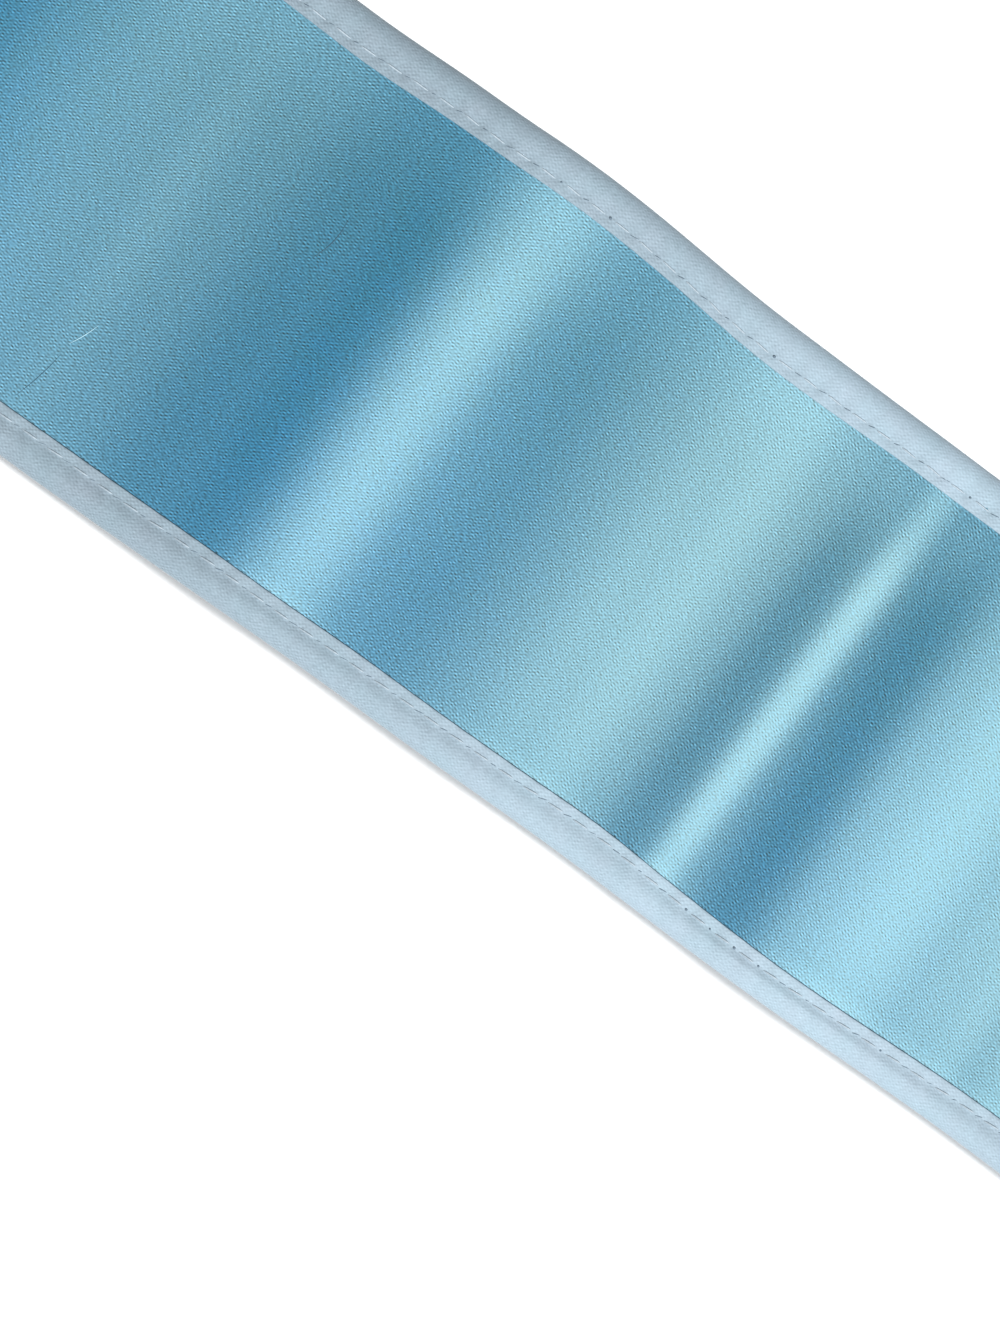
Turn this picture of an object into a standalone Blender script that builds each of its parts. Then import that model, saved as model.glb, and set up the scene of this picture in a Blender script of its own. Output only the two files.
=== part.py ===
"""Silk sash belt: one long satin band, bound on all four sides with narrow matt binding, laid flat.

Frame: X runs along the belt, Y across it and Z up. The origin is on the table, under the belt's centre.
The belt's underside touches the table at z = 0, apart from soft cross waves that lift it a little.
"""

import math

import bmesh
import bpy

MM = 0.001

# Driving dimensions, in millimetres
BELT_LENGTH = 1400.0
BELT_WIDTH = 55.0
SATIN_WALL = 1.2
BINDING_WALL = 1.0
SEAM_GAP = 0.3
BINDING_COVER = 4.5
ROLL_DEPTH = 1.7
PANEL_SAG = 0.9
END_SAG_LENGTH = 20.0

# Worked out from the dimensions above
HALF_LENGTH = BELT_LENGTH / 2
HALF_WIDTH = BELT_WIDTH / 2
EDGE_THICKNESS = 2 * BINDING_WALL + 2 * SEAM_GAP + SATIN_WALL
RAW_EDGE = BINDING_WALL + SEAM_GAP
SAG_INSET = BINDING_COVER + 0.5
MITRE_BACK = SEAM_GAP / math.sqrt(2)

# How finely the solids are cut
ROLL_STEPS = 6
NEAREST_STATIONS = 1.3
FURTHEST_STATIONS = 24.0
PANEL_SHARES = (1.0, 0.85, 0.50)

# Slopes in the middle stretch. Each row is one soft ramp that lifts or lowers the cloth.
# station is the ramp's middle along X, rise the height gained across it, reach half its length,
# and lean how far it shifts along X for each millimetre of Y
RAMP_COLUMNS = ("station", "rise", "reach", "lean")
RAMPS = (
    (-70.0, 0.50, 9.0, 0.00),
    (-52.0, -0.38, 14.0, 0.00),
    (-43.0, -0.08, 5.0, 0.00),
    (-28.0, 0.76, 11.0, 0.00),
    (-21.6, 0.40, 5.8, 0.00),
    (-12.2, -0.52, 6.8, 0.00),
    (-0.5, 0.30, 9.0, 0.00),
    (15.0, -0.42, 9.0, 0.00),
    (21.0, -0.28, 6.0, 0.00),
    (29.6, 0.27, 4.4, 0.01),
    (34.5, -0.25, 3.0, 0.02),
    (41.2, 0.68, 6.6, 0.01),
    (55.0, -0.60, 9.8, 0.00),
    (64.5, -0.10, 4.0, 0.00),
    (68.2, -0.12, 3.4, 0.00),
    (76.0, -0.16, 6.0, 0.00),
)

# Soft ridges in the other stretches. Each row is one hump that stands on the table.
RIDGE_COLUMNS = ("station", "rise", "reach", "lean")
RIDGES = (
    (-655.0, 1.6, 24.0, 0.05),
    (-596.0, 3.0, 30.0, -0.08),
    (-538.0, 1.2, 18.0, 0.10),
    (-472.0, 3.4, 34.0, 0.06),
    (-420.0, 1.5, 18.0, -0.05),
    (-354.0, 2.6, 27.0, 0.12),
    (-290.0, 3.8, 33.0, -0.06),
    (-246.0, 1.4, 16.0, 0.04),
    (-187.0, 2.9, 28.0, -0.10),
    (-130.0, 1.8, 20.0, 0.07),
    (118.0, 2.2, 22.0, 0.08),
    (170.0, 3.2, 31.0, -0.05),
    (232.0, 1.3, 18.0, 0.10),
    (286.0, 2.8, 28.0, -0.09),
    (352.0, 3.9, 35.0, 0.05),
    (406.0, 1.6, 17.0, -0.10),
    (470.0, 2.4, 26.0, 0.07),
    (540.0, 3.3, 32.0, -0.06),
    (597.0, 1.4, 18.0, 0.09),
    (650.0, 2.3, 25.0, -0.05),
)

# Where the sewn edges wander from a straight line. shift is outward in the belt's plane.
WANDER_COLUMNS = ("side", "station", "shift", "reach")
WANDERS = (
    (1, -28.0, 0.25, 10.0),
    (1, -10.0, 0.90, 23.0),
    (1, 160.0, -0.50, 40.0),
    (1, -240.0, -0.60, 60.0),
    (1, 420.0, 0.60, 55.0),
    (1, -520.0, 0.50, 50.0),
    (-1, -42.0, 0.66, 42.0),
    (-1, 24.0, -0.22, 20.0),
    (-1, 72.0, -0.40, 26.0),
    (-1, 260.0, 0.60, 50.0),
    (-1, -150.0, -0.50, 45.0),
    (-1, -430.0, 0.90, 60.0),
    (-1, 560.0, -0.50, 50.0),
)

SATIN_COLOUR = (0.13, 0.42, 0.55, 1.0)
BINDING_COLOUR = (0.50, 0.64, 0.74, 1.0)


def rows(columns, table):
    """The table's rows as dictionaries."""
    return [dict(zip(columns, row)) for row in table]


def ramp(u):
    """Climbs smoothly from 0 at u = -1 to 1 at u = 1."""
    if u <= -1:
        return 0.0
    if u >= 1:
        return 1.0
    return (1 + u) / 2 + math.sin(math.pi * u) / (2 * math.pi)


def hump(u):
    """Rises smoothly from 0 at u = -1 to 1 at u = 0, and falls to 0 again at u = 1."""
    return 0.5 * (1 + math.cos(math.pi * u)) if abs(u) < 1 else 0.0


def lift(x, y):
    """Height of the belt's underside above the table."""
    ramps = sum(
        r["rise"] * ramp((x - r["station"] - r["lean"] * y) / r["reach"])
        for r in rows(RAMP_COLUMNS, RAMPS)
    )
    ridges = sum(
        r["rise"] * hump((x - r["station"] - r["lean"] * y) / r["reach"])
        for r in rows(RIDGE_COLUMNS, RIDGES)
    )
    return max(0.0, ramps + ridges)


def edge_at(x, side):
    """Y of the belt's outer edge at x, on the side that is 1 or -1."""
    wander = sum(
        r["shift"] * hump((x - r["station"]) / r["reach"])
        for r in rows(WANDER_COLUMNS, WANDERS)
        if r["side"] == side
    )
    return side * (HALF_WIDTH + wander)


def stations(start, end):
    """Places along X for the sections, close together where the cloth turns."""
    wanted = [start, end]
    for r in rows(RAMP_COLUMNS, RAMPS) + rows(RIDGE_COLUMNS, RIDGES):
        wanted += [r["station"] + share * r["reach"] for share in (-1, -0.5, 0, 0.5, 1)]
    wanted += [r["station"] for r in rows(WANDER_COLUMNS, WANDERS)]
    for share in (0, 0.5, 1):
        from_middle = HALF_LENGTH - SAG_INSET - share * END_SAG_LENGTH
        wanted += [-from_middle, from_middle]
    wanted = sorted(x for x in wanted if start <= x <= end)
    kept = [start]
    for x in wanted[1:]:
        while x - kept[-1] > FURTHEST_STATIONS:
            kept.append(kept[-1] + FURTHEST_STATIONS)
        if x - kept[-1] >= NEAREST_STATIONS:
            kept.append(x)
    if end - kept[-1] > 0:
        kept[-1] = end
    return kept


def binding_profile():
    """The folded binding's closed section, as pairs: inward from the belt's edge, and height."""
    middle = EDGE_THICKNESS / 2
    points = [(BINDING_COVER, 0.0)]
    for step in range(ROLL_STEPS + 1):
        angle = math.pi * (step / ROLL_STEPS - 0.5)
        points.append(
            (ROLL_DEPTH * (1 - math.cos(angle)), middle * (1 + math.sin(angle)))
        )
    upper_fold = EDGE_THICKNESS - BINDING_WALL
    points += [
        (BINDING_COVER, EDGE_THICKNESS),
        (BINDING_COVER, upper_fold),
        (BINDING_WALL, upper_fold),
        (BINDING_WALL, BINDING_WALL),
        (BINDING_COVER, BINDING_WALL),
    ]
    return points


def make_material(name, colour, roughness):
    """A plain Principled material."""
    material = bpy.data.materials.new(name)
    material.use_nodes = True
    shader = material.node_tree.nodes["Principled BSDF"]
    shader.inputs["Base Color"].default_value = colour
    shader.inputs["Roughness"].default_value = roughness
    shader.inputs["Metallic"].default_value = 0.0
    material.diffuse_color = colour
    return material


def swept_solid(name, rings, material):
    """A closed body through the rings, lists of (x, y, z) in millimetres with the same number of points."""
    mesh = bmesh.new()
    loops = [[mesh.verts.new([c * MM for c in point]) for point in ring] for ring in rings]
    count = len(loops[0])
    for this, following in zip(loops, loops[1:]):
        for i in range(count):
            j = (i + 1) % count
            mesh.faces.new((this[i], this[j], following[j], following[i]))
    mesh.faces.new(loops[0])
    mesh.faces.new(loops[-1])
    bmesh.ops.recalc_face_normals(mesh, faces=mesh.faces)
    data = bpy.data.meshes.new(name)
    mesh.to_mesh(data)
    mesh.free()
    data.materials.append(material)
    data.shade_smooth()
    data.set_sharp_from_angle(angle=math.radians(40))
    body = bpy.data.objects.new(name, data)
    bpy.context.scene.collection.objects.link(body)
    return body


def panel_sag(x, share):
    """How far the satin sinks between its bound edges; share is 0 at mid-width and 1 beside a binding."""
    from_end_binding = HALF_LENGTH - SAG_INSET - abs(x)
    along = ramp(2 * from_end_binding / END_SAG_LENGTH - 1)
    return PANEL_SAG * along * (1 - share**4)


def panel_half(x, side):
    """Points of the satin's underside at x, from its raw edge towards mid-width, on the side 1 or -1."""
    edge = edge_at(x, side)
    raw = edge - side * RAW_EDGE
    points = [(x, raw, lift(x, raw) + RAW_EDGE)]
    for share in PANEL_SHARES:
        y = share * (edge - side * SAG_INSET)
        points.append((x, y, lift(x, y) + RAW_EDGE - panel_sag(x, share)))
    return points


def panel_ring(x):
    """The satin's section at x: along its underside, then back along its face."""
    under = panel_half(x, -1) + panel_half(x, 1)[::-1]
    face = [(px, py, pz + SATIN_WALL) for px, py, pz in reversed(under)]
    return under + face


def long_binding_ring(x, side, mitre):
    """The binding's section at x on one long side; mitre slants it by its inward distance, -1, 0 or 1."""
    ring = []
    for inward, up in binding_profile():
        px = x - mitre * (inward + MITRE_BACK)
        py = edge_at(px, side) - side * inward
        ring.append((px, py, lift(px, py) + up))
    return ring


def end_binding_ring(end, side):
    """The mitred section of the binding across one end, at the corner on one side."""
    ring = []
    for inward, up in binding_profile():
        px = end * (HALF_LENGTH - inward)
        py = side * (HALF_WIDTH - inward - MITRE_BACK)
        ring.append((px, py, up))
    return ring


def make_panel(material):
    """The satin band itself, cut to lie inside the folded binding."""
    reach = HALF_LENGTH - RAW_EDGE
    return swept_solid("satin_panel", [panel_ring(x) for x in stations(-reach, reach)], material)


def make_long_binding(name, side, material):
    """The binding strip along one long side, mitred at both ends."""
    inner = HALF_LENGTH - 2 * BINDING_COVER
    middle = [long_binding_ring(x, side, 0) for x in stations(-inner, inner)]
    first = long_binding_ring(-HALF_LENGTH, side, -1)
    last = long_binding_ring(HALF_LENGTH, side, 1)
    return swept_solid(name, [first] + middle + [last], material)


def make_end_binding(name, end, material):
    """The binding strip across one end, mitred at both corners."""
    return swept_solid(name, [end_binding_ring(end, -1), end_binding_ring(end, 1)], material)


def main():
    for old in list(bpy.data.objects):
        bpy.data.objects.remove(old)
    satin = make_material("satin", SATIN_COLOUR, 0.35)
    binding = make_material("binding", BINDING_COLOUR, 0.75)
    make_panel(satin)
    make_long_binding("binding_far_edge", 1, binding)
    make_long_binding("binding_near_edge", -1, binding)
    make_end_binding("binding_left_end", -1, binding)
    make_end_binding("binding_right_end", 1, binding)


main()
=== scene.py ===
"""Looks of the silk sash belt: a satin band with topstitched matt binding, laid flat on a white table.

X runs along the belt, Y across it and Z up, as in the frame. Lengths below are millimetres unless a
comment says otherwise, and add_piece turns them into Blender's metres.
"""

import math
import random

import bpy
from mathutils import Matrix, Vector, noise


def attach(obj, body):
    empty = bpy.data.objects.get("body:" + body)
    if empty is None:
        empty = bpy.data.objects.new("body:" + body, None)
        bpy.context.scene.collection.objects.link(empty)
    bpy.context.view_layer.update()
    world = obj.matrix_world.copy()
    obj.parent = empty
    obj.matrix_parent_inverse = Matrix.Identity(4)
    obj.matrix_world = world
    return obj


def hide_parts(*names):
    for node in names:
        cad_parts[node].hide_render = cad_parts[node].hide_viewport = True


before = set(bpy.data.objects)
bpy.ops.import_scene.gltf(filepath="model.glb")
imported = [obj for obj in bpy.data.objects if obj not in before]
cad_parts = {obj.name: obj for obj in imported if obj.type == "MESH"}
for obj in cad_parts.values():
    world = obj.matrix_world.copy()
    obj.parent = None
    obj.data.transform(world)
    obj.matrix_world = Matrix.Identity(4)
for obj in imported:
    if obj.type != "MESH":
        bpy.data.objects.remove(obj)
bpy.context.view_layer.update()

random.seed(11)

# A millimetre in Blender's metres
MILLIMETRE = 0.001

# The belt's driving dimensions
BELT_LENGTH = 1400.0
BELT_WIDTH = 55.0
SATIN_WALL = 1.2
BINDING_WALL = 1.0
SEAM_GAP = 0.3
BINDING_COVER = 4.5
PANEL_SAG = 0.5
END_SAG_LENGTH = 20.0

HALF_LENGTH = BELT_LENGTH / 2
HALF_WIDTH = BELT_WIDTH / 2
RAW_EDGE = BINDING_WALL + SEAM_GAP
SATIN_TOP = RAW_EDGE + SATIN_WALL

# The satin sags from lines that lie a little further in than the binding
SAG_PAST_BINDING = 0.5
SAG_INSET = BINDING_COVER + SAG_PAST_BINDING

# How far the bindings' ends stand back from the mitre lines
MITRE_BACK = 0.04

# The satin's visible face stands higher than its solid's, because real cloth is thin at the seam
VISIBLE_SATIN_LIFT = 0.42
VISIBLE_SATIN_TOP = SATIN_TOP + VISIBLE_SATIN_LIFT

# The satin's fine unevenness: its height, its size along and across the belt, and the layer of noise
UNEVENNESS = 0.03
UNEVEN_ALONG = 11.0
UNEVEN_ACROSS = 19.0
UNEVEN_LAYER = 3.0

# The far seam holds the satin flatter beside it
FAR_SEAM_HOLD = 0.6
FAR_HOLD_START = 9.0
FAR_HOLD_WIDTH = 13.0
FAR_HOLD_REACH = 5.0

# The binding's visible form: distances inward from the belt's edge, and heights above its underside
VISIBLE_COVER = 4.3
CROWN_INWARD = 1.9
CROWN_HEIGHT = 3.40
ROLL_MIDDLE = 1.9
STITCH_FROM_INNER_EDGE = 1.05
GROOVE_HEIGHT = 3.08
STRIP_HEIGHT = 3.18

# The section's other points: on the folded strip, beside the stitch line and, in degrees, round the roll
LIP_ROUNDING = 0.05
STRIP_INSIDE = 0.4
BESIDE_LINE = (0.35, 0.15, 0.0, -0.15, -0.4, -0.75)
ROLL_TURNS = (18, 36, 54, 72, 90, 112, 135, 158)

# The pocket that holds the satin's edge, and the lip that closes on the satin
POCKET_INWARD = 1.3
POCKET_BACK = 1.0
POCKET_CLEARANCE = 0.05
POCKET_END = 0.5
LIP_OVERHANG = 0.04
LIP_DIP = 0.02
LIP_CORNER_OVERHANG = 0.03
LIP_CORNER_DROP = 0.10
LIP_TOP_DROP = 0.03

# The roll is plumper in some places, which fades out just past the stitch line
PLUMP_HEIGHT = 0.10
PLUMP_LENGTH = 14.0
PLUMP_PAST_LINE = 0.5
PLUMP_FADE = 2.0

# The stitch line: its pitch, how much of it is thread, and its slow and quick waver
STITCH_PITCH = 3.0
STITCH_SHARE = 0.66
LONG_WAVER = 0.07
LONG_WAVER_PER_RADIAN = 9.7
SHORT_WAVER = 0.05
SHORT_WAVER_PER_RADIAN = 3.9

# Each long row's first stitch from the belt's left end, by side, and how many stitches the mitres take up
FIRST_STITCH = {1: 5.0, -1: 6.5}
STITCHES_LEFT_OUT = 4
END_STITCH_COUNT = 15

# The pucker that the stitches pull into the binding
STITCH_PULL_RANGE = (0.55, 1.25)
PUCKER_DEPTH = 0.10
PUCKER_SPREAD = 0.9
PUCKER_SLANT = 0.10

# A stitch's thread: its radius, then in shares of the radius how thick and how deep its ends are
# and how high it arches between them, then how fast it fills out and rises
THREAD_RADIUS = 0.10
THREAD_END_SHARE = 0.55
THREAD_SUNK = 0.9
THREAD_ARCH = 1.3
THREAD_FILLING = 1.8
THREAD_RISING = 1.5

# How far a stitch slants by chance and always, and how finely its thread is drawn
THREAD_SWAY = 0.05
THREAD_SLANT = 0.06
THREAD_FACE_WIDTH = 0.13
THREAD_AROUND = 6
THREAD_STEPS = 8

# Painted shade in the creases between the stitches: smallest and largest half length, half width and
# slant
CREASE_LONG = (0.22, 0.52)
CREASE_WIDE = (0.03, 0.055)
CREASE_SLANT = (0.08, 0.30)

# The painted shade of creases and holes is thin dark slabs that stand a hair above the cloth, so that
# they show
HOLE_ABOVE = 0.012
HOLE_THICKNESS = 0.05
HOLE_STRETCH = 1.2
HOLE_AROUND = 10

# Pulled fibres: how thin their tips are, how far they stand up, and how finely they are drawn
PULL_TIP_SHARE = 0.25
PULL_RAISED = 0.3
PULL_STEPS = 14
PULL_AROUND = 6

# The stretch that the photo shows has the finest mesh
SEEN_START = -78.0
SEEN_END = 92.0
SATIN_STEP_SEEN = 0.5
SATIN_STEP_HIDDEN = 2.5
SATIN_COLUMN_STEP = 1.0
BINDING_STEP_SEEN = 0.5
BINDING_STEP_HIDDEN = 1.0

# Waves: station is the middle along X, rise the height gained, reach half the length along X,
# and lean how far the wave shifts along X for each millimetre of Y
WAVE_COLUMNS = ("station", "rise", "reach", "lean")

# Slopes in the middle stretch, as in the solids but for one lean. Each row is one soft ramp.
RAMPS = (
    (-70.0, 0.50, 9.0, 0.00),
    (-52.0, -0.38, 14.0, 0.00),
    (-43.0, -0.08, 5.0, 0.00),
    (-28.0, 0.76, 11.0, 0.00),
    (-21.6, 0.40, 5.8, 0.00),
    (-12.2, -0.52, 6.8, 0.00),
    (-0.5, 0.30, 9.0, 0.00),
    (15.0, -0.42, 9.0, 0.00),
    (21.0, -0.28, 6.0, 0.00),
    (29.6, 0.27, 4.4, 0.01),
    (34.5, -0.25, 3.0, 0.02),
    (41.2, 0.68, 6.6, -0.03),
    (55.0, -0.60, 9.8, 0.00),
    (64.5, -0.10, 4.0, 0.00),
    (68.2, -0.12, 3.4, 0.00),
    (76.0, -0.16, 6.0, 0.00),
)

# Soft ridges in the other stretches, as in the solids. Each row is one hump.
RIDGES = (
    (-655.0, 1.6, 24.0, 0.05),
    (-596.0, 3.0, 30.0, -0.08),
    (-538.0, 1.2, 18.0, 0.10),
    (-472.0, 3.4, 34.0, 0.06),
    (-420.0, 1.5, 18.0, -0.05),
    (-354.0, 2.6, 27.0, 0.12),
    (-290.0, 3.8, 33.0, -0.06),
    (-246.0, 1.4, 16.0, 0.04),
    (-187.0, 2.9, 28.0, -0.10),
    (-130.0, 1.8, 20.0, 0.07),
    (118.0, 2.2, 22.0, 0.08),
    (170.0, 3.2, 31.0, -0.05),
    (232.0, 1.3, 18.0, 0.10),
    (286.0, 2.8, 28.0, -0.09),
    (352.0, 3.9, 35.0, 0.05),
    (406.0, 1.6, 17.0, -0.10),
    (470.0, 2.4, 26.0, 0.07),
    (540.0, 3.3, 32.0, -0.06),
    (597.0, 1.4, 18.0, 0.09),
    (650.0, 2.3, 25.0, -0.05),
)

# Where the sewn edges wander from a straight line, as in the solids. shift is outward.
WANDER_COLUMNS = ("side", "station", "shift", "reach")
WANDERS = (
    (1, -28.0, 0.25, 10.0),
    (1, -10.0, 0.90, 23.0),
    (1, 160.0, -0.50, 40.0),
    (1, -240.0, -0.60, 60.0),
    (1, 420.0, 0.60, 55.0),
    (1, -520.0, 0.50, 50.0),
    (-1, -42.0, 0.66, 42.0),
    (-1, 24.0, -0.22, 20.0),
    (-1, 72.0, -0.40, 26.0),
    (-1, 260.0, 0.60, 50.0),
    (-1, -150.0, -0.50, 45.0),
    (-1, -430.0, 0.90, 60.0),
    (-1, 560.0, -0.50, 50.0),
)

# Where the binding is sewn a little wider or narrower on the satin. change is inward.
COVER_COLUMNS = ("side", "station", "change", "reach")
COVERS = (
    (1, 16.0, 0.34, 16.0),
    (1, -35.0, 0.15, 14.0),
    (-1, 26.0, 0.15, 10.0),
    (-1, 52.0, -0.42, 26.0),
    (-1, -12.0, -0.12, 12.0),
    (-1, -55.0, -0.20, 20.0),
    (1, 180.0, -0.30, 40.0),
    (1, -200.0, 0.20, 50.0),
    (-1, 240.0, 0.20, 50.0),
    (-1, -260.0, -0.25, 45.0),
    (1, 460.0, 0.20, 60.0),
    (-1, 480.0, -0.25, 50.0),
    (1, -470.0, -0.25, 60.0),
)

# Needle holes that show clearly, by side, place along the belt and radius
HOLE_COLUMNS = ("side", "station", "radius")
HOLES = (
    (1, -13.6, 0.10),
    (1, -8.1, 0.15),
    (1, 13.7, 0.15),
    (1, 35.6, 0.12),
    (-1, 38.5, 0.14),
    (-1, 41.5, 0.11),
    (-1, 44.6, 0.15),
    (-1, 47.7, 0.12),
    (-1, 62.8, 0.11),
    (-1, -210.0, 0.14),
    (-1, 205.0, 0.13),
    (-1, 480.0, 0.14),
    (1, -330.0, 0.13),
    (1, 262.0, 0.14),
    (1, 571.0, 0.12),
)

# Pulled fibres on the satin: where each runs from and to, how far it bows sideways, and its radius
PULL_COLUMNS = ("from_x", "from_y", "to_x", "to_y", "bow", "radius")
LIGHT_PULLS = (
    (-42.9, -15.6, -41.6, -12.4, 0.10, 0.055),
    (186.0, 4.0, 187.4, 8.6, -0.20, 0.05),
    (-318.0, -9.0, -316.2, -3.5, 0.15, 0.05),
    (512.0, 11.0, 510.2, 16.5, 0.10, 0.05),
)
DARK_PULLS = (
    (-28.9, 4.9, -28.3, 10.4, 0.45, 0.045),
    (-44.1, -22.6, -42.9, -16.9, 0.15, 0.04),
    (301.0, -14.0, 302.3, -8.5, 0.40, 0.045),
    (-205.0, 8.0, -206.4, 13.0, -0.30, 0.04),
)


def rows(columns, table):
    """The table's rows as dictionaries."""
    return [dict(zip(columns, row)) for row in table]


RAMP_ROWS = rows(WAVE_COLUMNS, RAMPS)
RIDGE_ROWS = rows(WAVE_COLUMNS, RIDGES)
WANDER_ROWS = rows(WANDER_COLUMNS, WANDERS)
COVER_ROWS = rows(COVER_COLUMNS, COVERS)
HOLE_ROWS = rows(HOLE_COLUMNS, HOLES)
LIGHT_PULL_ROWS = rows(PULL_COLUMNS, LIGHT_PULLS)
DARK_PULL_ROWS = rows(PULL_COLUMNS, DARK_PULLS)


def ramp(u):
    """Climbs smoothly from 0 at u = -1 to 1 at u = 1."""
    if u <= -1:
        return 0.0
    if u >= 1:
        return 1.0
    return (1 + u) / 2 + math.sin(math.pi * u) / (2 * math.pi)


def hump(u):
    """Rises smoothly from 0 at u = -1 to 1 at u = 0, and falls to 0 again at u = 1."""
    return 0.5 * (1 + math.cos(math.pi * u)) if abs(u) < 1 else 0.0


def smooth(share):
    """Goes from 0 to 1 with level ends as share does."""
    share = max(0.0, min(1.0, share))
    return share * share * (3 - 2 * share)


def lift(x, y):
    """Height of the belt's underside above the table."""
    height = 0.0
    for wave in RAMP_ROWS:
        height += wave["rise"] * ramp((x - wave["station"] - wave["lean"] * y) / wave["reach"])
    for wave in RIDGE_ROWS:
        height += wave["rise"] * hump((x - wave["station"] - wave["lean"] * y) / wave["reach"])
    return max(0.0, height)


def edge_at(x, side):
    """Y of the belt's outer edge at x, on the side that is 1 or -1."""
    wander = 0.0
    for row in WANDER_ROWS:
        if row["side"] == side:
            wander += row["shift"] * hump((x - row["station"]) / row["reach"])
    return side * (HALF_WIDTH + wander)


def cover_at(x, side):
    """How far the binding reaches inward from the belt's edge at x."""
    change = 0.0
    for row in COVER_ROWS:
        if row["side"] == side:
            change += row["change"] * hump((x - row["station"]) / row["reach"])
    return VISIBLE_COVER + change


def panel_sag(x, share):
    """How far the satin sinks between its bound edges; share is 0 at mid-width and 1 beside a binding."""
    from_end_binding = HALF_LENGTH - SAG_INSET - abs(x)
    along = ramp(2 * from_end_binding / END_SAG_LENGTH - 1)
    return PANEL_SAG * along * (1 - min(1.0, share) ** 4)


def satin_height(x, y):
    """Height of the satin's face."""
    side = 1 if y > 0 else -1
    share = abs(y / (edge_at(x, side) - side * SAG_INSET))
    waves = lift(x, y)
    held = FAR_SEAM_HOLD * smooth((y - FAR_HOLD_START) / FAR_HOLD_WIDTH)
    if held > 0:
        averaged = (lift(x - FAR_HOLD_REACH, y) + waves + lift(x + FAR_HOLD_REACH, y)) / 3
        waves += held * (averaged - waves)
    uneven = UNEVENNESS * noise.noise(Vector((x / UNEVEN_ALONG, y / UNEVEN_ACROSS, UNEVEN_LAYER)))
    return waves + uneven + VISIBLE_SATIN_TOP - panel_sag(x, share)


def steps(start, end, step):
    """Evenly spaced values from start to end, no further apart than step."""
    count = max(1, math.ceil((end - start) / step))
    return [start + (end - start) * i / count for i in range(count + 1)]


def stations(half, seen_step, hidden_step):
    """Places along X, close together in the stretch that the photo shows."""
    left = steps(-half, SEEN_START, hidden_step)
    seen = steps(SEEN_START, SEEN_END, seen_step)
    right = steps(SEEN_END, half, hidden_step)
    return left + seen[1:-1] + right


def add_piece(name, verts, faces, face_uvs, material):
    """A smooth mesh object with its cloth coordinates in metres, riding on the belt's body."""
    data = bpy.data.meshes.new(name)
    data.from_pydata([Vector(point) * MILLIMETRE for point in verts], [], faces)
    layer = data.uv_layers.new(name="cloth")
    flat = [value * MILLIMETRE for corners in face_uvs for uv in corners for value in uv]
    layer.uv.foreach_set("vector", flat)
    data.materials.append(material)
    data.shade_smooth()
    data.validate()
    piece = bpy.data.objects.new(name, data)
    bpy.context.scene.collection.objects.link(piece)
    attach(piece, "root")
    return piece


def add_swept_piece(name, rings, ring_uvs, material):
    """A closed body through the rings; ring_uvs holds one place more than its ring has points."""
    count = len(rings[0])
    verts = [point for ring in rings for point in ring]
    faces = []
    face_uvs = []
    for k in range(len(rings) - 1):
        here, there = k * count, (k + 1) * count
        near, far = ring_uvs[k], ring_uvs[k + 1]
        for i in range(count):
            j = (i + 1) % count
            faces.append((here + j, here + i, there + i, there + j))
            face_uvs.append((near[i + 1], near[i], far[i], far[i + 1]))
    last = (len(rings) - 1) * count
    faces.append(tuple(range(count)))
    face_uvs.append(ring_uvs[0][:count])
    faces.append(tuple(last + i for i in reversed(range(count))))
    face_uvs.append(ring_uvs[-1][:count][::-1])
    return add_piece(name, verts, faces, face_uvs, material)


def tube_faces(base, ring_count, around):
    """A closed tube's faces: its sides, then its two ends. Its rings start at the vertex base."""
    faces = []
    for k in range(ring_count - 1):
        here, there = base + k * around, base + (k + 1) * around
        for i in range(around):
            j = (i + 1) % around
            faces.append((here + i, here + j, there + j, there + i))
    last = base + (ring_count - 1) * around
    faces.append(tuple(base + i for i in reversed(range(around))))
    faces.append(tuple(last + i for i in range(around)))
    return faces


def plan_uvs(verts, faces):
    """Cloth coordinates that are each corner's own X and Y."""
    return [[verts[i][:2] for i in face] for face in faces]


def feed(tree, socket, value):
    """Sets a socket to a fixed value, or links it to the socket that the value is."""
    if isinstance(value, (int, float, tuple)):
        socket.default_value = value
    else:
        tree.links.new(value, socket)


def maths(tree, operation, first, second=0.0, third=0.0):
    """A Math node; its inputs may be numbers or sockets."""
    node = tree.nodes.new("ShaderNodeMath")
    node.operation = operation
    for socket, value in zip(node.inputs, (first, second, third)):
        feed(tree, socket, value)
    return node.outputs[0]


def added(tree, first, *others):
    """The sum of numbers or sockets."""
    total = first
    for other in others:
        total = maths(tree, "ADD", total, other)
    return total


def vector_maths(tree, operation, *values):
    """The outputs of a Vector Math node; its inputs may be vectors or sockets."""
    node = tree.nodes.new("ShaderNodeVectorMath")
    node.operation = operation
    for socket, value in zip(node.inputs, values):
        feed(tree, socket, value)
    return node.outputs


def scaled(tree, vector, factor):
    """The vector times a number, each of them a fixed value or a socket."""
    node = tree.nodes.new("ShaderNodeVectorMath")
    node.operation = "SCALE"
    feed(tree, node.inputs[0], vector)
    feed(tree, node.inputs["Scale"], factor)
    return node.outputs["Vector"]


def cloth_place(tree):
    """The place on the cloth in millimetres, along it and across it."""
    uv = tree.nodes.new("ShaderNodeUVMap")
    uv.uv_map = "cloth"
    return scaled(tree, uv.outputs["UV"], 1 / MILLIMETRE)


def separated(tree, place):
    """The place's two coordinates, along the cloth and across it."""
    split = tree.nodes.new("ShaderNodeSeparateXYZ")
    feed(tree, split.inputs[0], place)
    return split.outputs["X"], split.outputs["Y"]


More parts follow.
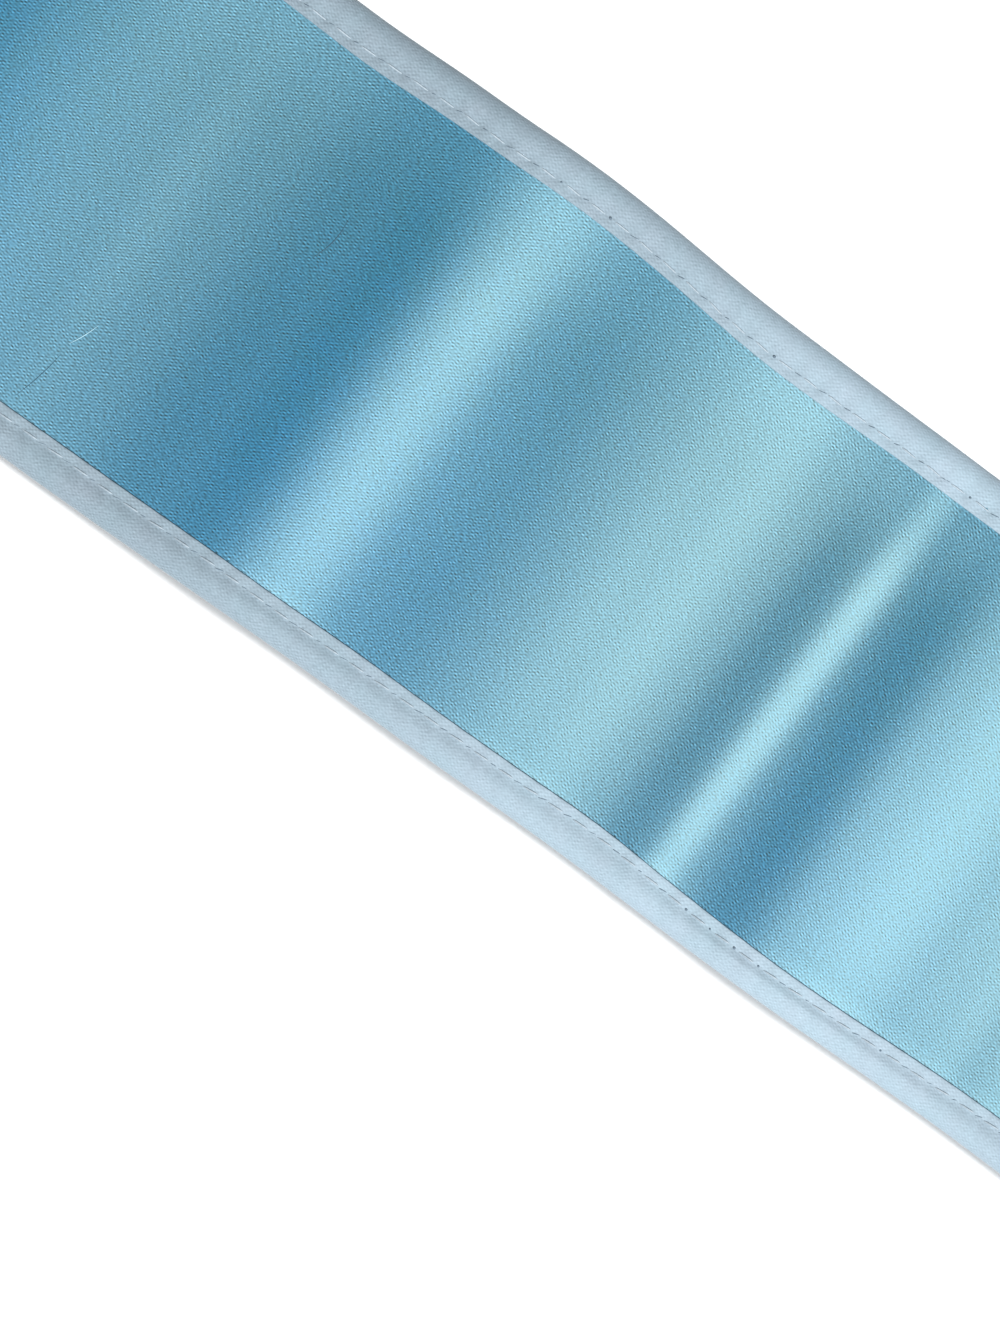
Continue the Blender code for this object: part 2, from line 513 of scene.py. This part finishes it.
def wandering(tree, place, wobble, per_mm):
    """The place gently disturbed, as real threads are: how far in millimetres, and how often."""
    drift = tree.nodes.new("ShaderNodeTexNoise")
    drift.inputs["Scale"].default_value = per_mm
    drift.inputs["Detail"].default_value = 1.0
    feed(tree, drift.inputs["Vector"], place)
    centred = vector_maths(tree, "SUBTRACT", drift.outputs["Color"], (0.5, 0.5, 0.5))["Vector"]
    return vector_maths(tree, "MULTIPLY_ADD", centred, (wobble, wobble, 0.0), place)["Vector"]


def ripple(tree, place, thread):
    """One set of a weave's lines; thread holds cycles per mm along and across the cloth, and weight."""
    along, across, weight = thread
    phase = vector_maths(tree, "DOT_PRODUCT", place, (math.tau * along, math.tau * across, 0.0))["Value"]
    return maths(tree, "MULTIPLY", maths(tree, "SINE", phase), weight)


def slow_wave(tree, along, length, start):
    """A wave of that length in millimetres along the belt; start is its phase at the belt's middle."""
    return maths(tree, "SINE", maths(tree, "MULTIPLY_ADD", along, math.tau / length, start))


def speckle(tree, place, per_mm, detail=0.0):
    """Centred noise over the cloth, with that many features per millimetre."""
    grain = tree.nodes.new("ShaderNodeTexNoise")
    grain.inputs["Scale"].default_value = per_mm
    grain.inputs["Detail"].default_value = detail
    feed(tree, grain.inputs["Vector"], place)
    return maths(tree, "SUBTRACT", grain.outputs["Fac"], 0.5)


def flecks(tree, place, turn, along, across):
    """Centred noise in short flecks: their angle to the belt in degrees, and how many per mm each way."""
    angle = math.radians(turn)
    lengthwise = (math.cos(angle) * along, math.sin(angle) * along, 0.0)
    sideways = (-math.sin(angle) * across, math.cos(angle) * across, 0.0)
    turned = tree.nodes.new("ShaderNodeCombineXYZ")
    feed(tree, turned.inputs["X"], vector_maths(tree, "DOT_PRODUCT", place, lengthwise)["Value"])
    feed(tree, turned.inputs["Y"], vector_maths(tree, "DOT_PRODUCT", place, sideways)["Value"])
    return speckle(tree, turned.outputs["Vector"], per_mm=1.0)


def leaning_normal(tree, tangent, amount):
    """The cloth's normal leaned along the belt by the amount, as the threads lie a little unevenly."""
    geometry = tree.nodes.new("ShaderNodeNewGeometry")
    sideways = scaled(tree, tangent, amount)
    leaned = vector_maths(tree, "ADD", geometry.outputs["Normal"], sideways)["Vector"]
    return vector_maths(tree, "NORMALIZE", leaned)["Vector"]


def shaded(tree, colour_socket, amount):
    """The colour times one plus amount."""
    return scaled(tree, colour_socket, maths(tree, "ADD", amount, 1.0))


def blended(tree, factor, first, second):
    """Two colours mixed by a factor; each is a linear colour or a socket."""
    mix = tree.nodes.new("ShaderNodeMix")
    mix.data_type = "RGBA"
    for socket, colour in ((mix.inputs["A"], first), (mix.inputs["B"], second)):
        feed(tree, socket, (*colour, 1.0) if isinstance(colour, tuple) else colour)
    feed(tree, mix.inputs["Factor"], factor)
    return mix.outputs["Result"]


def new_material(name):
    """A material with its node tree and its main shader."""
    material = bpy.data.materials.new(name)
    material.use_nodes = True
    return material, material.node_tree, material.node_tree.nodes["Principled BSDF"]


# The slanting lines of the satin's weave: cycles per mm along and across the belt, and weight
SATIN_RISING = (-1.58, 2.66, 0.9)
SATIN_FALLING = (2.28, 2.46, 1.0)
SATIN_DIAGONAL = (0.58, 3.46, 1.0)

# The rising and falling lines take turns, partly with a slow swing along the belt, and neither dies out
SWING_LENGTH = 190.0
SWING_START = -0.26
SWING_IN_TURNS = 0.25
LEAST_LINES = 0.1

# How much stronger or fainter the lines are from spot to spot
SATIN_SPOTS = 2.1

# How much the weave's lines and the fibres among them change the depth of colour, and how far they lean
RIB_TONE = 0.30
FIBRE_TONE = 1.1
DARKEST_TONE = -0.85
RIB_LEAN = 0.024
FIBRE_LEAN = 0.05

# The satin goes in patches from blue at the near edge to teal at the far edge
SATIN_TEAL = (0.001, 0.121, 0.215)
SATIN_BLUE = (0.001, 0.135, 0.284)
HUE_WIDTH = 45.0
HUE_PATCHES = 1.2

# It is greyer in turns along the belt
SATIN_GREY = (0.010, 0.102, 0.168)
GREY_MIDDLE = 0.3
GREY_LENGTH = 60.0
GREY_START = -0.52
GREY_CHANGE = 0.3
SWING_IN_GREY = 0.12

# A painted sheen makes it a little paler beside its sewn edges, standing for the broader gloss where the
# stitches pucker it
SATIN_PAINTED_SHEEN = (0.030, 0.165, 0.285)
PAINTED_SHEEN_FROM_MIDDLE = 14.0
PAINTED_SHEEN_WIDTH = 10.0
PAINTED_SHEEN_SHARE = 0.5


def satin_ribs(tree, place, swing):
    """The height of the satin's three sets of lines, stronger in some spots than in others."""
    moved = wandering(tree, place, wobble=0.22, per_mm=0.5)
    patches = maths(tree, "ADD", speckle(tree, place, per_mm=0.3, detail=1.0), 0.5)
    turn = maths(tree, "MULTIPLY_ADD", swing, SWING_IN_TURNS, patches)
    rising_share = maths(tree, "SUBTRACT", 1 + LEAST_LINES, turn)
    falling_share = maths(tree, "ADD", turn, LEAST_LINES)
    rising = maths(tree, "MULTIPLY", ripple(tree, moved, SATIN_RISING), rising_share)
    falling = maths(tree, "MULTIPLY", ripple(tree, moved, SATIN_FALLING), falling_share)
    lines = added(tree, rising, falling, ripple(tree, moved, SATIN_DIAGONAL))
    spots = maths(tree, "MULTIPLY_ADD", speckle(tree, place, per_mm=1.5), SATIN_SPOTS, 1.0)
    return maths(tree, "MULTIPLY", lines, spots)


def satin_colour(tree, place, swing):
    """The satin's colour before its weave shades it, with a painted sheen towards its sewn edges."""
    along, across = separated(tree, place)
    hue = maths(tree, "MULTIPLY_ADD", across, -1 / HUE_WIDTH, 0.5)
    patches = speckle(tree, place, per_mm=0.5, detail=2.0)
    hue = maths(tree, "MULTIPLY_ADD", patches, HUE_PATCHES, hue)
    colour = blended(tree, hue, SATIN_TEAL, SATIN_BLUE)
    slow_grey_and_shade = slow_wave(tree, along, GREY_LENGTH, GREY_START)
    grey = maths(tree, "MULTIPLY_ADD", swing, SWING_IN_GREY, GREY_MIDDLE)
    grey = maths(tree, "MULTIPLY_ADD", slow_grey_and_shade, GREY_CHANGE, grey)
    colour = blended(tree, grey, colour, SATIN_GREY)
    # Painted sheen: the colour is mixed towards a paler one near both sewn edges
    from_middle = maths(tree, "ABSOLUTE", across)
    painted_sheen = maths(tree, "MULTIPLY_ADD", from_middle, 1 / PAINTED_SHEEN_WIDTH, -PAINTED_SHEEN_FROM_MIDDLE / PAINTED_SHEEN_WIDTH)
    painted_sheen = maths(tree, "MINIMUM", maths(tree, "MAXIMUM", painted_sheen, 0.0), 1.0)
    return blended(tree, maths(tree, "MULTIPLY", painted_sheen, PAINTED_SHEEN_SHARE), colour, SATIN_PAINTED_SHEEN)


def satin_material():
    """Warp-faced satin: sharp gloss along the belt, wide across it, with a fine twilled weave."""
    material, tree, shader = new_material("satin")
    place = cloth_place(tree)
    swing = slow_wave(tree, separated(tree, place)[0], SWING_LENGTH, SWING_START)
    ribs = satin_ribs(tree, place, swing)
    fibres = flecks(tree, place, turn=34.0, along=2.6, across=5.4)
    tone = maths(tree, "MULTIPLY_ADD", ribs, RIB_TONE, maths(tree, "MULTIPLY", fibres, FIBRE_TONE))
    tone = maths(tree, "MAXIMUM", tone, DARKEST_TONE)
    colour = satin_colour(tree, place, swing)
    feed(tree, shader.inputs["Base Color"], shaded(tree, colour, tone))
    tangent = tree.nodes.new("ShaderNodeTangent")
    tangent.direction_type = "UV_MAP"
    tangent.uv_map = "cloth"
    belt_way = tangent.outputs["Tangent"]
    lean = maths(tree, "MULTIPLY_ADD", ribs, RIB_LEAN, maths(tree, "MULTIPLY", fibres, FIBRE_LEAN))
    feed(tree, shader.inputs["Normal"], leaning_normal(tree, belt_way, lean))
    feed(tree, shader.inputs["Tangent"], belt_way)
    shader.inputs["Roughness"].default_value = 0.52
    shader.inputs["Anisotropic"].default_value = 0.8
    shader.inputs["Anisotropic Rotation"].default_value = 0.25
    shader.inputs["IOR"].default_value = 1.8
    shader.inputs["Specular IOR Level"].default_value = 1.0
    shader.inputs["Specular Tint"].default_value = (0.68, 0.965, 0.935, 1.0)
    return material


# The binding's weave and its two colours
BINDING_THREADS = ((-1.45, 2.45, 0.8), (2.20, 2.35, 0.8), (0.52, 3.30, 0.8))
BINDING_PALE = (0.286, 0.388, 0.452)
BINDING_MAUVE = (0.306, 0.383, 0.450)

# How much its patches, spots, lines, flecks and painted shade count; the painted shade darkens and
# lightens it slowly along the belt
BINDING_PATCHES = 1.6
BINDING_SPOTS = 2.0
BINDING_LINES = 0.12
BINDING_FLECKS = 0.6
BINDING_GRAIN_TONE = 0.5
BINDING_PAINTED_SHADE = 0.19
BINDING_PAINTED_SHADE_START = -0.1

# How high the binding's grain stands, in metres
BINDING_RELIEF = 0.00002


def binding_material():
    """Matt bias-cut cloth with a fine diagonal weave, and painted shade that changes slowly along the
    belt.
    """
    material, tree, shader = new_material("binding")
    place = cloth_place(tree)
    moved = wandering(tree, place, wobble=0.25, per_mm=0.5)
    lines = added(tree, *[ripple(tree, moved, thread) for thread in BINDING_THREADS])
    spots = speckle(tree, place, per_mm=0.8, detail=1.0)
    ribs = maths(tree, "MULTIPLY", lines, maths(tree, "MULTIPLY_ADD", spots, BINDING_SPOTS, 1.0))
    streaks = flecks(tree, place, turn=37.0, along=1.6, across=5.0)
    grain = maths(tree, "MULTIPLY", streaks, BINDING_FLECKS)
    grain = maths(tree, "MULTIPLY_ADD", ribs, BINDING_LINES, grain)
    patches = speckle(tree, place, per_mm=0.25, detail=2.0)
    patches = maths(tree, "MULTIPLY_ADD", patches, BINDING_PATCHES, 0.5)
    colour = blended(tree, patches, BINDING_PALE, BINDING_MAUVE)
    # Painted shade: the binding is darker in some stretches and lighter in others, in slow turns along
    # the belt
    slow_grey_and_shade = slow_wave(tree, separated(tree, place)[0], SWING_LENGTH, BINDING_PAINTED_SHADE_START)
    tone = maths(tree, "MULTIPLY", grain, BINDING_GRAIN_TONE)
    tone = maths(tree, "MULTIPLY_ADD", slow_grey_and_shade, BINDING_PAINTED_SHADE, tone)
    feed(tree, shader.inputs["Base Color"], shaded(tree, colour, tone))
    bump = tree.nodes.new("ShaderNodeBump")
    bump.inputs["Strength"].default_value = 1.0
    bump.inputs["Distance"].default_value = BINDING_RELIEF
    feed(tree, bump.inputs["Height"], grain)
    feed(tree, shader.inputs["Normal"], bump.outputs["Normal"])
    shader.inputs["Roughness"].default_value = 0.75
    shader.inputs["Specular IOR Level"].default_value = 0.35
    shader.inputs["Sheen Weight"].default_value = 0.15
    shader.inputs["Sheen Roughness"].default_value = 0.4
    return material


# The sewing thread's twist, as a weave of one thread, and the two colours that it goes between
THREAD_TWIST = (2.2, 1.4, 1.0)
THREAD_TWIST_TONE = 0.3
THREAD_DARKER = (0.32, 0.40, 0.46)
THREAD_LIGHTER = (0.41, 0.49, 0.55)


def thread_material():
    """Spun sewing thread with a fine twist."""
    material, tree, shader = new_material("thread")
    moved = wandering(tree, cloth_place(tree), wobble=0.05, per_mm=2.0)
    twist = maths(tree, "MULTIPLY_ADD", ripple(tree, moved, THREAD_TWIST), THREAD_TWIST_TONE, 0.5)
    feed(tree, shader.inputs["Base Color"], blended(tree, twist, THREAD_DARKER, THREAD_LIGHTER))
    shader.inputs["Roughness"].default_value = 0.5
    shader.inputs["Sheen Weight"].default_value = 0.2
    return material


# The colours of the pulled threads and the thin dark lines, each from darker to lighter
PULLED_COLOURS = ((0.30, 0.55, 0.66), (0.45, 0.70, 0.80))
DARK_FIBRE_COLOURS = ((0.02, 0.08, 0.13), (0.05, 0.14, 0.20))


def pulled_material(name, colours):
    """A single fibre lying on the satin."""
    material, tree, shader = new_material(name)
    mottle = maths(tree, "ADD", speckle(tree, cloth_place(tree), per_mm=1.5), 0.5)
    feed(tree, shader.inputs["Base Color"], blended(tree, mottle, *colours))
    shader.inputs["Roughness"].default_value = 0.5
    return material


# Painted shade inside the needle holes and creases, from darker to lighter
HOLE_SHADE_DARKER = (0.13, 0.18, 0.23)
HOLE_SHADE_LIGHTER = (0.22, 0.29, 0.34)


def hole_shade_material():
    """Painted shade: the dark inside of a needle hole or stitch crease."""
    material, tree, shader = new_material("painted_hole_shade")
    mottle = speckle(tree, cloth_place(tree), per_mm=4.0)
    feed(tree, shader.inputs["Base Color"], blended(tree, mottle, HOLE_SHADE_DARKER, HOLE_SHADE_LIGHTER))
    shader.inputs["Roughness"].default_value = 0.9
    return material


def make_satin(material):
    """The satin band, a closed thin wall from inside one binding to inside the other."""
    reach = HALF_LENGTH - RAW_EDGE
    columns = steps(-1.0, 1.0, SATIN_COLUMN_STEP / HALF_WIDTH)
    rings = []
    ring_uvs = []
    for x in stations(reach, SATIN_STEP_SEEN, SATIN_STEP_HIDDEN):
        near = edge_at(x, -1) + RAW_EDGE
        far = edge_at(x, 1) - RAW_EDGE
        ys = [near + (far - near) * (c + 1) / 2 for c in columns]
        face = [(x, y, satin_height(x, y)) for y in ys]
        back = [(px, py, pz - SATIN_WALL) for px, py, pz in reversed(face)]
        rings.append(face + back)
        places = [(x, y) for y in ys]
        ring_uvs.append(places + places[::-1] + [places[0]])
    piece = add_swept_piece("satin_band", rings, ring_uvs, material)
    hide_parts("satin_panel")
    return piece


STITCH_COUNT = round(BELT_LENGTH / STITCH_PITCH)
STITCH_PULL = [random.uniform(*STITCH_PULL_RANGE) for _ in range(STITCH_COUNT + 2)]


def stitch_pull(along):
    """How hard the sewing pulls here, a little different at each stitch."""
    index = (along + HALF_LENGTH) / STITCH_PITCH
    low = max(0, min(STITCH_COUNT, math.floor(index)))
    part = index - math.floor(index)
    return STITCH_PULL[low] * (1 - part) + STITCH_PULL[low + 1] * part


def stitch_inward(x, side):
    """Distance of the stitch line from the belt's edge."""
    waver = LONG_WAVER * math.sin(x / LONG_WAVER_PER_RADIAN + side)
    waver += SHORT_WAVER * math.sin(x / SHORT_WAVER_PER_RADIAN)
    return cover_at(x, side) - STITCH_FROM_INNER_EDGE + waver


def binding_top(inward, along, cover, line):
    """Height of the binding's face: a puffed roll, the stitch line's groove and the flat folded strip."""
    if inward < line:
        fall = smooth((inward - CROWN_INWARD) / (line - CROWN_INWARD))
        height = CROWN_HEIGHT - (CROWN_HEIGHT - GROOVE_HEIGHT) * fall
    else:
        height = GROOVE_HEIGHT + (STRIP_HEIGHT - GROOVE_HEIGHT) * (inward - line) / (cover - line)
    away = abs(inward - line)
    turn = math.cos(math.tau * (along / STITCH_PITCH + PUCKER_SLANT * (inward - line)))
    height -= PUCKER_DEPTH * stitch_pull(along) * turn * math.exp(-away / PUCKER_SPREAD)
    plump = PLUMP_HEIGHT * noise.noise(Vector((along / PLUMP_LENGTH, cover, 0.0)))
    return height + plump * smooth((line + PLUMP_PAST_LINE - inward) / PLUMP_FADE)


def binding_profile(along, cover, line):
    """The folded binding's closed section, as pairs: inward from the belt's edge, and height."""
    face_inwards = [cover - LIP_ROUNDING, cover - STRIP_INSIDE]
    face_inwards += [line + offset for offset in BESIDE_LINE]
    face_inwards.append(CROWN_INWARD)
    face = [(inward, binding_top(inward, along, cover, line)) for inward in face_inwards]
    crown = face[-1][1]
    roll = []
    for turn in ROLL_TURNS:
        angle = math.radians(turn)
        up = crown - ROLL_MIDDLE if turn <= 90 else ROLL_MIDDLE
        roll.append((CROWN_INWARD * (1 - math.sin(angle)), ROLL_MIDDLE + up * math.cos(angle)))
    under = [(CROWN_INWARD, 0.0), (cover, 0.0), (cover, BINDING_WALL)]
    pocket_top = VISIBLE_SATIN_TOP + POCKET_CLEARANCE
    pocket = [
        (POCKET_INWARD, BINDING_WALL),
        (POCKET_BACK, ROLL_MIDDLE),
        (POCKET_INWARD, pocket_top),
        (cover - POCKET_END, pocket_top),
    ]
    lip = [
        (cover + LIP_OVERHANG, VISIBLE_SATIN_TOP - LIP_DIP),
        (cover + LIP_OVERHANG, pocket_top),
        (cover + LIP_CORNER_OVERHANG, STRIP_HEIGHT - LIP_CORNER_DROP),
        (cover, STRIP_HEIGHT - LIP_TOP_DROP),
    ]
    return face + roll + under + pocket + lip


def profile_lengths(profile):
    """Distances round a closed section, one more than it has points."""
    lengths = [0.0]
    for here, there in zip(profile, profile[1:] + profile[:1]):
        lengths.append(lengths[-1] + math.dist(here, there))
    return lengths


def long_point(x0, side, inward, up):
    """A point of a long side's binding; the section slants to the mitre towards the belt's ends."""
    x = x0 * (HALF_LENGTH - inward - MITRE_BACK) / HALF_LENGTH
    y = edge_at(x, side) - side * inward
    return (x, y, lift(x, y) + up)


def end_point(y0, end, inward, up):
    """A point of an end's binding, between its two mitres."""
    y = y0 * (HALF_WIDTH - inward - MITRE_BACK) / HALF_WIDTH
    return (end * (HALF_LENGTH - inward), y, up)


def seam_at(along, side, point):
    """How far in a binding's inner edge and its stitch line lie; they wander only on the long edges."""
    if point is long_point:
        return cover_at(along, side), stitch_inward(along, side)
    return VISIBLE_COVER, VISIBLE_COVER - STITCH_FROM_INNER_EDGE


def make_binding(name, node, side, point, places, material):
    """One folded strip of binding; point places its section, and places are its stations."""
    rings = []
    ring_uvs = []
    turned = side if point is long_point else -side
    for along in places:
        cover, line = seam_at(along, side, point)
        profile = binding_profile(along, cover, line)
        if turned < 0:
            profile.reverse()
        rings.append([point(along, side, inward, up) for inward, up in profile])
        ring_uvs.append([(along, length) for length in profile_lengths(profile)])
    piece = add_swept_piece(name, rings, ring_uvs, material)
    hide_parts(node)
    return piece


def stitch_ring(along, share, sway, side, point):
    """One ring of points round a stitch's thread; share goes from 0 to 1 along the stitch."""
    cover, line = seam_at(along, side, point)
    ground = binding_top(line, along, cover, line)
    arch = math.sin(math.pi * share)
    fullness = min(1.0, arch * THREAD_FILLING)
    thickness = THREAD_RADIUS * (THREAD_END_SHARE + (1 - THREAD_END_SHARE) * fullness)
    raised = THREAD_RADIUS * THREAD_ARCH * min(1.0, arch * THREAD_RISING)
    centre_up = ground - THREAD_RADIUS * THREAD_SUNK + raised
    slant = sway * (share - 0.5) * 2 + THREAD_SLANT * (share - 0.5)
    ring = []
    for i in range(THREAD_AROUND):
        angle = math.tau * i / THREAD_AROUND
        inward = line + slant + thickness * math.cos(angle)
        ring.append(point(along, side, inward, centre_up + thickness * math.sin(angle)))
    return ring


def thread_strands(name, side, point, starts, material):
    """A row of stitches lying in the binding's groove, as one joined mesh."""
    verts = []
    faces = []
    face_uvs = []
    length = STITCH_PITCH * STITCH_SHARE
    rounds = [i * THREAD_FACE_WIDTH for i in range(THREAD_AROUND + 1)]
    for start in starts:
        base = len(verts)
        begin = start + STITCH_PITCH * (1 - STITCH_SHARE) / 2
        sway = random.uniform(-THREAD_SWAY, THREAD_SWAY)
        places = [begin + length * k / THREAD_STEPS for k in range(THREAD_STEPS + 1)]
        for k in range(THREAD_STEPS + 1):
            share = k / THREAD_STEPS
            verts += stitch_ring(begin + length * share, share, sway, side, point)
        faces += tube_faces(base, THREAD_STEPS + 1, THREAD_AROUND)
        for here, there in zip(places, places[1:]):
            for low, high in zip(rounds, rounds[1:]):
                face_uvs.append(((here, low), (here, high), (there, high), (there, low)))
        end_uvs = tuple((begin, low) for low in rounds[:-1])
        face_uvs += [end_uvs, end_uvs]
    return add_piece(name, verts, faces, face_uvs, material)


def hole_places(side, starts):
    """Where the thread dives: middle, half length, half width and slant, with the clear holes listed."""
    places = []
    for start in starts:
        long = random.uniform(*CREASE_LONG)
        wide = random.uniform(*CREASE_WIDE)
        places.append((start, long, wide, random.uniform(*CREASE_SLANT)))
    for row in HOLE_ROWS:
        if row["side"] == side:
            nearest = min(range(len(places)), key=lambda i: abs(places[i][0] - row["station"]))
            places[nearest] = (places[nearest][0], HOLE_STRETCH * row["radius"], row["radius"], 0.0)
    return places


def painted_shade_slabs(name, side, starts, material):
    """Painted shade as thin dark slabs: slanting creases where the thread dives between the stitches, and
    a few open needle holes.
    """
    verts = []
    faces = []
    for middle, long, wide, slant in hole_places(side, starts):
        base = len(verts)
        for i in range(HOLE_AROUND):
            angle = math.tau * i / HOLE_AROUND
            along = middle + long * math.cos(angle)
            cover, line = seam_at(along, side, long_point)
            inward = line + wide * math.sin(angle) - side * slant * (along - middle)
            ground = binding_top(inward, along, cover, line)
            verts.append(long_point(along, side, inward, ground + HOLE_ABOVE))
        for x, y, z in verts[base:base + HOLE_AROUND]:
            verts.append((x, y, z - HOLE_THICKNESS))
        upper = list(range(base, base + HOLE_AROUND))
        lower = [i + HOLE_AROUND for i in upper]
        if side > 0:
            upper.reverse()
            lower.reverse()
        faces.append(tuple(upper))
        faces.append(tuple(reversed(lower)))
        for i in range(HOLE_AROUND):
            j = (i + 1) % HOLE_AROUND
            faces.append((upper[j], upper[i], lower[i], lower[j]))
    return add_piece(name, verts, faces, plan_uvs(verts, faces), material)


def pulled_threads(name, pulls, material):
    """Fine fibres that lie on the satin, each a thin bowed tube that tapers to its ends."""
    verts = []
    faces = []
    for pull in pulls:
        start = Vector((pull["from_x"], pull["from_y"]))
        end = Vector((pull["to_x"], pull["to_y"]))
        sideways = Vector((end.y - start.y, start.x - end.x)).normalized()
        base = len(verts)
        for k in range(PULL_STEPS + 1):
            share = k / PULL_STEPS
            arch = math.sin(math.pi * share)
            centre = start.lerp(end, share) + sideways * pull["bow"] * arch
            radius = pull["radius"] * (PULL_TIP_SHARE + (1 - PULL_TIP_SHARE) * arch)
            top = satin_height(centre.x, centre.y) + PULL_RAISED * pull["radius"]
            for i in range(PULL_AROUND):
                angle = math.tau * i / PULL_AROUND
                across = sideways * radius * math.cos(angle)
                verts.append((centre.x + across.x, centre.y + across.y, top + radius * math.sin(angle)))
        faces += tube_faces(base, PULL_STEPS + 1, PULL_AROUND)
    return add_piece(name, verts, faces, plan_uvs(verts, faces), material)


# Half the table's side, and how far it lies below the belt, both in metres
FLOOR_HALF = 40.0
FLOOR_DROP = 0.0001


def make_floor():
    """A plain white table, far wider than any view of the belt."""
    corners = [(x * FLOOR_HALF, y * FLOOR_HALF, 0.0) for x, y in ((-1, -1), (1, -1), (1, 1), (-1, 1))]
    data = bpy.data.meshes.new("floor")
    data.from_pydata(corners, [], [(0, 1, 2, 3)])
    material, _, shader = new_material("floor")
    shader.inputs["Base Color"].default_value = (0.9, 0.9, 0.9, 1.0)
    shader.inputs["Roughness"].default_value = 1.0
    shader.inputs["Specular IOR Level"].default_value = 0.0
    data.materials.append(material)
    floor = bpy.data.objects.new("floor", data)
    floor.location.z = -FLOOR_DROP
    bpy.context.scene.collection.objects.link(floor)
    return floor


# Soft suns: where each shines from, as degrees from straight up and azimuth counted from +X to +Y,
# its strength, and its spread in degrees
SUN_COLUMNS = ("name", "from_vertical", "azimuth", "strength", "spread")
CLOTH_SUNS = (
    ("window_key", 30.4, -35.0, 4.5, 20.0),
)
TABLE_SUNS = (
    ("table_light", 14.0, 80.0, 2.2, 17.0),
    ("table_fill", 0.0, 0.0, 2.4, 150.0),
)
WORLD_STRENGTH = 0.22


def add_sun(sun, receivers):
    """A soft sun that lights only the receivers."""
    tilt = math.radians(sun["from_vertical"])
    azimuth = math.radians(sun["azimuth"])
    level = math.sin(tilt)
    towards = Vector((level * math.cos(azimuth), level * math.sin(azimuth), math.cos(tilt)))
    data = bpy.data.lights.new(sun["name"], "SUN")
    data.energy = sun["strength"]
    data.angle = math.radians(sun["spread"])
    light = bpy.data.objects.new(sun["name"], data)
    light.rotation_mode = "QUATERNION"
    light.rotation_quaternion = towards.to_track_quat("Z", "Y")
    bpy.context.scene.collection.objects.link(light)
    lit = bpy.data.collections.new(sun["name"] + "_lights")
    for receiver in receivers:
        lit.objects.link(receiver)
    light.light_linking.receiver_collection = lit


def make_lights(cloth, floor):
    """One window light on the belt, two lights on the table, and a dim white world."""
    for sun in rows(SUN_COLUMNS, CLOTH_SUNS):
        add_sun(sun, cloth)
    for sun in rows(SUN_COLUMNS, TABLE_SUNS):
        add_sun(sun, [floor])
    world = bpy.data.worlds.new("studio")
    world.use_nodes = True
    background = world.node_tree.nodes["Background"]
    background.inputs["Color"].default_value = (1.0, 1.0, 1.0, 1.0)
    background.inputs["Strength"].default_value = WORLD_STRENGTH
    bpy.context.scene.world = world


# The camera looks at the photo's middle from nearly straight above, in millimetres and degrees.
# It is rolled so that the belt runs down to the right.
CAMERA_DISTANCE = 800.0
CAMERA_TILT = 8.7
BELT_ANGLE = 36.3
PHOTO_MIDDLE = (9.43, -16.1, 3.0)
PHOTO_HEIGHT_SEEN = 129.4
SENSOR_SIZE = 36.0


def make_camera():
    """The photo's view of the belt."""
    tilt = math.radians(CAMERA_TILT)
    roll = math.radians(BELT_ANGLE)
    back = Vector((-math.sin(tilt), 0.0, math.cos(tilt)))
    belt_way = Vector((math.cos(tilt), 0.0, math.sin(tilt)))
    over = Vector((0.0, 1.0, 0.0))
    right = belt_way * math.cos(roll) + over * math.sin(roll)
    up = over * math.cos(roll) - belt_way * math.sin(roll)
    place = (Vector(PHOTO_MIDDLE) + back * CAMERA_DISTANCE) * MILLIMETRE
    data = bpy.data.cameras.new("camera")
    data.sensor_fit = "AUTO"
    data.sensor_width = SENSOR_SIZE
    data.lens = SENSOR_SIZE * CAMERA_DISTANCE / PHOTO_HEIGHT_SEEN
    data.clip_start = 0.01
    data.clip_end = 100.0
    camera = bpy.data.objects.new("camera", data)
    turn = Matrix((right, up, back)).transposed().to_4x4()
    camera.matrix_world = Matrix.Translation(place) @ turn
    bpy.context.scene.collection.objects.link(camera)
    bpy.context.scene.camera = camera


def make_pulls():
    """The pulled threads and the thin dark lines, in a list."""
    pulled = pulled_material("pulled_thread", PULLED_COLOURS)
    dark_line_look = pulled_material("dark_fibre_line", DARK_FIBRE_COLOURS)
    return [
        pulled_threads("pulled_threads", LIGHT_PULL_ROWS, pulled),
        pulled_threads("dark_fibre_lines", DARK_PULL_ROWS, dark_line_look),
    ]


def make_edges():
    """The four bindings with their stitches and the painted shade of their needle holes and creases, in a
    list.
    """
    binding = binding_material()
    thread = thread_material()
    hole_shade = hole_shade_material()
    edges = []
    places = stations(HALF_LENGTH, BINDING_STEP_SEEN, BINDING_STEP_HIDDEN)
    for name, side in (("far", 1), ("near", -1)):
        node = f"binding_{name}_edge"
        edges.append(make_binding(f"binding_{name}", node, side, long_point, places, binding))
        first = FIRST_STITCH[side] - HALF_LENGTH
        starts = [first + STITCH_PITCH * i for i in range(STITCH_COUNT - STITCHES_LEFT_OUT)]
        edges.append(thread_strands(f"stitches_{name}", side, long_point, starts, thread))
        edges.append(painted_shade_slabs(f"painted_shade_slabs_{name}", side, starts, hole_shade))
    places = steps(-HALF_WIDTH, HALF_WIDTH, BINDING_STEP_SEEN)
    starts = [STITCH_PITCH * (i - END_STITCH_COUNT / 2) for i in range(END_STITCH_COUNT)]
    for name, side in (("left", -1), ("right", 1)):
        node = f"binding_{name}_end"
        edges.append(make_binding(f"binding_{name}", node, side, end_point, places, binding))
        edges.append(thread_strands(f"stitches_{name}", side, end_point, starts, thread))
    return edges


def main():
    """The belt on its table, with the photo's light and view."""
    cloth = [make_satin(satin_material())] + make_pulls() + make_edges()
    make_lights(cloth, make_floor())
    make_camera()
    bpy.context.scene.view_settings.view_transform = "Standard"


main()
